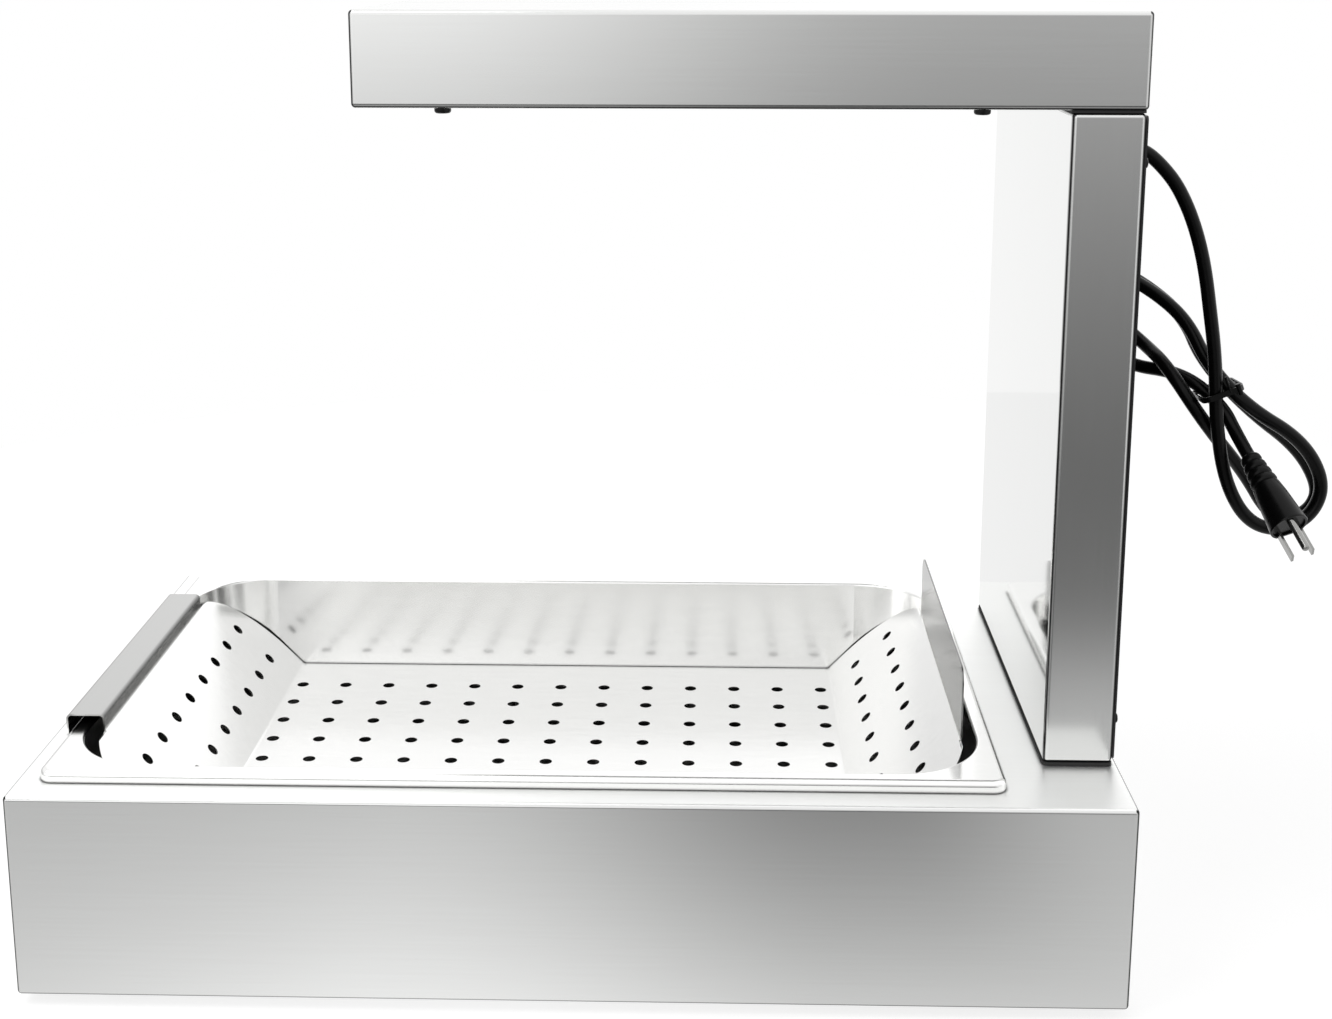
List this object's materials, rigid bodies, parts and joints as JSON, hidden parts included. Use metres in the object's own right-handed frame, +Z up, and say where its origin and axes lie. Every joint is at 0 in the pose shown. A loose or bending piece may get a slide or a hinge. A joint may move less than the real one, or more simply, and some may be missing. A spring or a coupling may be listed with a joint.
{
  "type": "fry warmer",
  "caption": "Free-standing stainless fry warmer with a drop-in pan, a perforated drain insert, a hollow column and an overhead heater hood on a folded box base.",
  "frame": {"origin": "on the floor under the middle of the box base", "axes": "+X along the base towards the column, +Y across the base away from the picture's viewer, +Z up"},
  "size_m": [0.7711, 0.368, 0.546],
  "materials": {
    "stainless_body": "fine brushed sheet",
    "black_coating": "black powder coat",
    "stainless_pan": "bright polished sheet",
    "stainless_fasteners": "plain bright steel",
    "reflector_aluminium": "bright rolled sheet",
    "guard_chrome": "plated wire",
    "element_sheath": "heat-darkened tube",
    "ceramic": "glazed off-white ceramic",
    "insulation": "white fibre blanket",
    "gasket_rubber": "matt black sheet",
    "foot_rubber": "matt black moulded",
    "black_plastic": "moulded black",
    "block_plastic": "moulded off-white",
    "cord_pvc": "soft black cord sheath",
    "wire_sheath": "glass-braid sleeving",
    "brass_contacts": "plain brass",
    "plated_pins": "bright nickel plating"
  },
  "bodies": {
    "warmer": {"base_shell": "stainless_body", "base_bottom_plate": "stainless_body", "bottom_plate_screws": "stainless_fasteners", "rubber_feet": "foot_rubber", "foot_screws": "stainless_fasteners", "foot_nuts": "stainless_fasteners", "column_gasket": "gasket_rubber", "hood_gasket": "gasket_rubber", "column_shell": "stainless_body", "column_bolts": "stainless_fasteners", "column_nuts": "stainless_fasteners", "column_rear_cover": "black_coating", "rear_cover_screws": "stainless_fasteners", "hood_shell": "stainless_body", "hood_bolts": "stainless_fasteners", "hood_bolt_nuts": "stainless_fasteners", "hood_screws": "stainless_fasteners", "hood_screw_nuts": "stainless_fasteners", "reflector": "reflector_aluminium", "insulation_blanket": "insulation", "heating_elements": "element_sheath", "element_bushings": "ceramic", "heater_guard": "guard_chrome", "terminal_block": "block_plastic", "terminal_screws": "brass_contacts", "block_studs": "stainless_fasteners", "block_nuts": "stainless_fasteners", "switch_body": "black_plastic", "switch_terminals": "brass_contacts", "element_leads": "wire_sheath", "element_link": "wire_sheath", "switch_leads": "wire_sheath", "supply_tail": "cord_pvc", "cord_gland": "black_plastic", "gland_nut": "black_plastic", "cord_lead": "cord_pvc", "cord_hank": "cord_pvc", "cord_tie": "black_plastic", "plug_body": "black_plastic", "plug_blades": "plated_pins", "plug_earth_pin": "plated_pins"},
    "pan": {"steam_pan": "stainless_pan"},
    "insert": {"drain_insert": "stainless_pan"},
    "rocker": {"switch_rocker": "black_plastic"}
  },
  "joints": [
    {"name": "pan_lift", "type": "slide", "parent": "warmer", "child": "pan", "axis": [0, 0, 1], "range_m": [0, 0.12]},
    {"name": "insert_lift", "type": "slide", "parent": "pan", "child": "insert", "axis": [0, 0, 1], "range_m": [0, 0.12]},
    {"name": "switch_rock", "type": "hinge", "parent": "warmer", "child": "rocker", "pos_m": [0.28505, 0.126, 0.3], "axis": [1, 0, 0], "range_deg": [0, 20]}
  ]
}
